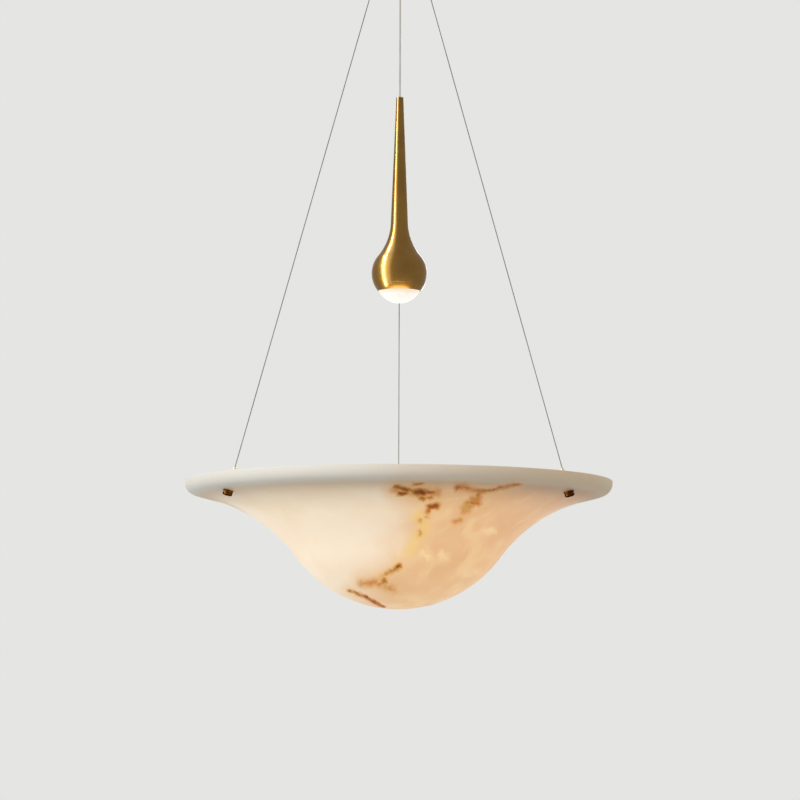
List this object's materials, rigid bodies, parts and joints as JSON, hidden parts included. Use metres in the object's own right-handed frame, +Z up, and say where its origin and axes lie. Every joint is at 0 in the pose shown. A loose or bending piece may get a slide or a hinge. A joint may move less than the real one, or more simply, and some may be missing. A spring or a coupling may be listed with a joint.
{
  "type": "pendant light",
  "caption": "Pendant light: a wide S-profiled veined stone bowl on slanting wires, lit from above by a slim brass teardrop spot on a cable from the same round canopy.",
  "frame": {"origin": "on the ceiling plane at the centre of the bracket's two slots", "axes": "+Z up into the ceiling, +X along the ceiling bracket to the right in the picture, +Y away from the camera; the light hangs below z = 0"},
  "size_m": [0.5999, 0.6, 0.9373],
  "materials": {
    "stone": "honed translucent stone with brown veins",
    "brass": "brushed satin brass",
    "wire_steel": "fine stranded steel wire",
    "steel": "zinc plated steel",
    "cable": "pale round cable jacket",
    "lens_glass": "frosted domed lens, lit from inside",
    "emitter": "yellow phosphor",
    "aluminium": "bare aluminium",
    "white_plastic": "white moulded plastic",
    "circuit_board": "green circuit board with parts",
    "led_board": "white solder resist",
    "rubber": "black rubber",
    "thermal_pad": "soft grey blue pad",
    "lead_red": "red insulation"
  },
  "bodies": {
    "root": {"ceiling_bracket": "steel", "canopy_shell": "brass", "canopy_side_screws": "brass", "earth_screw": "steel", "driver_case": "white_plastic", "driver_lid": "white_plastic", "driver_board": "circuit_board", "terminal_block": "white_plastic", "terminal_screws": "steel", "supply_lead": "cable", "canopy_lead": "cable", "outlet_body": "brass", "outlet_nut": "steel", "outlet_cap": "steel", "gripper_nuts": "steel", "wire_tails": "wire_steel", "gripper_barrel_rear": "brass", "gripper_barrel_left": "brass", "gripper_barrel_right": "brass", "gripper_spring_rear": "steel", "gripper_spring_left": "steel", "gripper_spring_right": "steel"},
    "swivel": {"swivel_ball": "white_plastic"},
    "spot": {"cable_stop": "steel", "pendant_cable": "cable", "neck_plug": "brass", "neck_screw": "steel", "cable_ferrule": "steel", "led_leads": "lead_red", "teardrop_shell": "brass", "bezel_ring": "brass", "lens": "lens_glass", "lens_gasket": "rubber", "reflector": "aluminium", "led_emitter": "emitter", "led_board": "led_board", "board_screws": "steel", "thermal_pad": "thermal_pad", "heat_sink": "aluminium"},
    "bowl": {"stone_bowl": "stone", "stop_washers": "rubber", "stop_screws": "steel", "bowl_bush_rear": "brass", "bowl_bush_left": "brass", "bowl_bush_right": "brass", "wire_stop_rear": "brass", "wire_stop_left": "brass", "wire_stop_right": "brass"},
    "wire_rear": {"suspension_wire_rear": "wire_steel"},
    "release_rear": {"release_nozzle_rear": "brass", "grip_balls_rear": "steel"},
    "wire_left": {"suspension_wire_left": "wire_steel"},
    "release_left": {"release_nozzle_left": "brass", "grip_balls_left": "steel"},
    "wire_right": {"suspension_wire_right": "wire_steel"},
    "release_right": {"release_nozzle_right": "brass", "grip_balls_right": "steel"}
  },
  "joints": [
    {"name": "spot_swing_x", "type": "hinge", "parent": "root", "child": "swivel", "pos_m": [0, 0, -0.043], "axis": [1, 0, 0], "range_deg": [-8, 8]},
    {"name": "spot_swing_y", "type": "hinge", "parent": "swivel", "child": "spot", "pos_m": [0, 0, -0.043], "axis": [0, 1, 0], "range_deg": [-8, 8]},
    {"name": "bowl_sway", "type": "hinge", "parent": "root", "child": "bowl", "pos_m": [0, 0, 0.08397], "axis": [0, 1, 0], "range_deg": [-5, 5]},
    {"name": "wire_rear_sway", "type": "hinge", "parent": "root", "child": "wire_rear", "pos_m": [0, 0.042, -0.051], "axis": [0, 1, 0], "range_deg": [-6, 6]},
    {"name": "wire_left_sway", "type": "hinge", "parent": "root", "child": "wire_left", "pos_m": [-0.03637, -0.021, -0.051], "axis": [0, 1, 0], "range_deg": [-6, 6]},
    {"name": "wire_right_sway", "type": "hinge", "parent": "root", "child": "wire_right", "pos_m": [0.03637, -0.021, -0.051], "axis": [0, 1, 0], "range_deg": [-6, 6]},
    {"name": "release_rear_press", "type": "slide", "parent": "root", "child": "release_rear", "axis": [0, 0, 1], "range_m": [0, 0.002], "stiffness_N_per_m": 1500, "springref_m": -0.002, "deforming": ["gripper_spring_rear"]},
    {"name": "release_left_press", "type": "slide", "parent": "root", "child": "release_left", "axis": [0, 0, 1], "range_m": [0, 0.002], "stiffness_N_per_m": 1500, "springref_m": -0.002, "deforming": ["gripper_spring_left"]},
    {"name": "release_right_press", "type": "slide", "parent": "root", "child": "release_right", "axis": [0, 0, 1], "range_m": [0, 0.002], "stiffness_N_per_m": 1500, "springref_m": -0.002, "deforming": ["gripper_spring_right"]}
  ],
  "couplings": [
    {"joint": "wire_rear_sway", "follows": "bowl_sway", "ratio": 1.1848},
    {"joint": "wire_left_sway", "follows": "bowl_sway", "ratio": 1.1848},
    {"joint": "wire_right_sway", "follows": "bowl_sway", "ratio": 1.1848}
  ]
}
